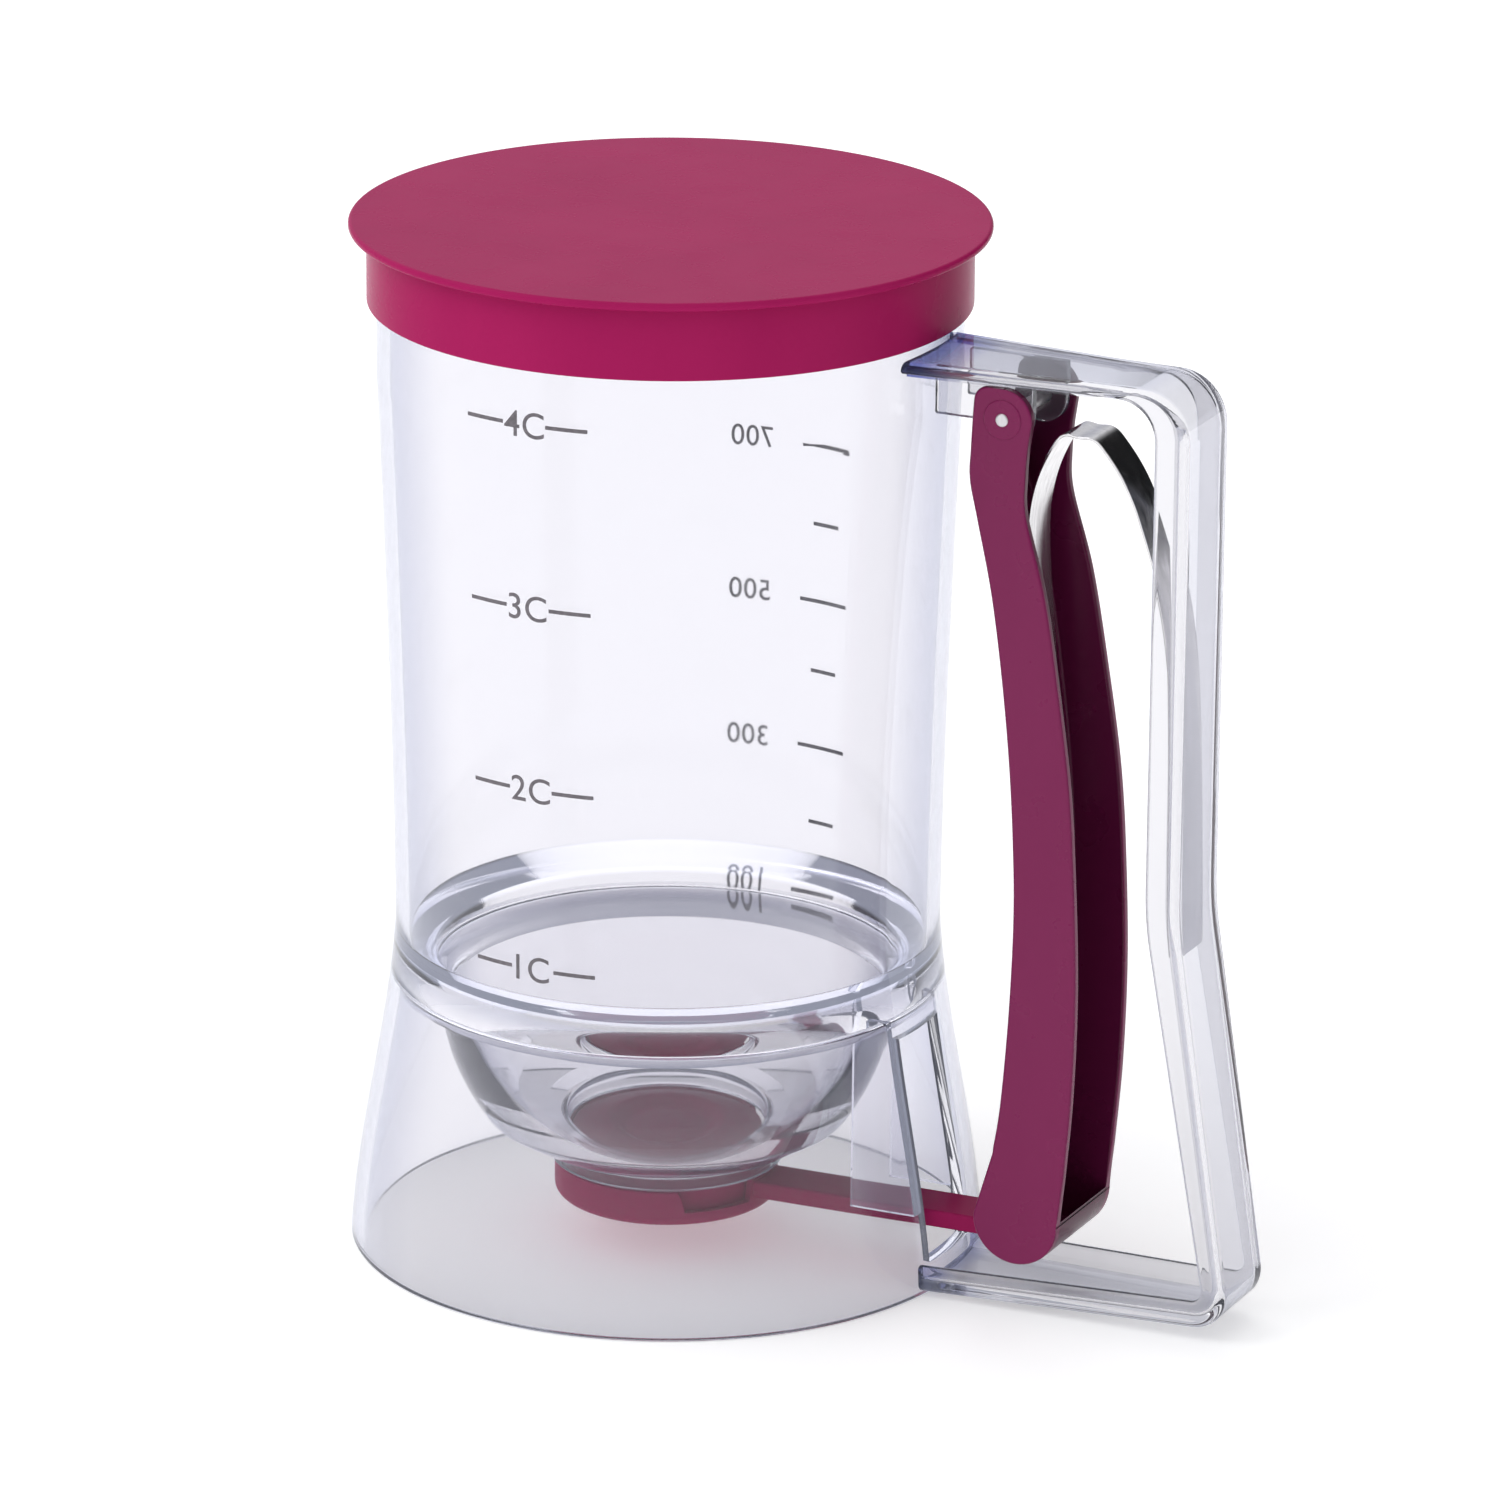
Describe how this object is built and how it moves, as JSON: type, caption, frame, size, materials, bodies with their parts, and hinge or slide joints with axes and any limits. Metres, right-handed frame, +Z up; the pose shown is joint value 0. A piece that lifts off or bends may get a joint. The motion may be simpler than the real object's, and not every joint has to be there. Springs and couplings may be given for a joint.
{
  "type": "pancake batter dispenser",
  "caption": "Clear squeeze-handle batter dispenser: graduated hopper on a flared skirt, coloured push-on lid, sprung trigger and sliding valve cup under the outlet.",
  "frame": {"origin": "middle of the footprint at the height of the skirt's foot ring", "axes": "+Z up along the hopper's axis, +X from the hopper to the handle, +Y across the handle"},
  "size_m": [0.172, 0.1154, 0.1904],
  "materials": {
    "clear_plastic": "clear gloss",
    "lid_plastic": "satin gloss, deep magenta",
    "trigger_plastic": "satin gloss, deep magenta",
    "valve_plastic": "satin gloss, deep magenta",
    "pin_steel": "bright",
    "spring_steel": "bright rolled strip"
  },
  "bodies": {
    "frame": {"hopper_wall": "clear_plastic", "funnel_bowl": "clear_plastic", "base_skirt": "clear_plastic", "handle_top_arm": "clear_plastic", "handle_post": "clear_plastic", "handle_bottom_arm": "clear_plastic", "pivot_block": "clear_plastic", "pivot_pin": "pin_steel", "leaf_spring": "spring_steel"},
    "lid": {"lid": "lid_plastic"},
    "trigger": {"trigger": "trigger_plastic", "valve_arm": "valve_plastic", "valve_cup": "valve_plastic"}
  },
  "joints": [
    {"name": "trigger_squeeze", "type": "hinge", "parent": "frame", "child": "trigger", "pos_m": [0.04118, 0, 0.1652], "axis": [0, -1, 0], "range_deg": [0, 9], "stiffness_Nm_per_rad": 3, "springref_deg": -8.59, "deforming": ["leaf_spring"]},
    {"name": "lid_lift", "type": "slide", "parent": "frame", "child": "lid", "axis": [0, 0, 1], "range_m": [0, 0.04]}
  ]
}
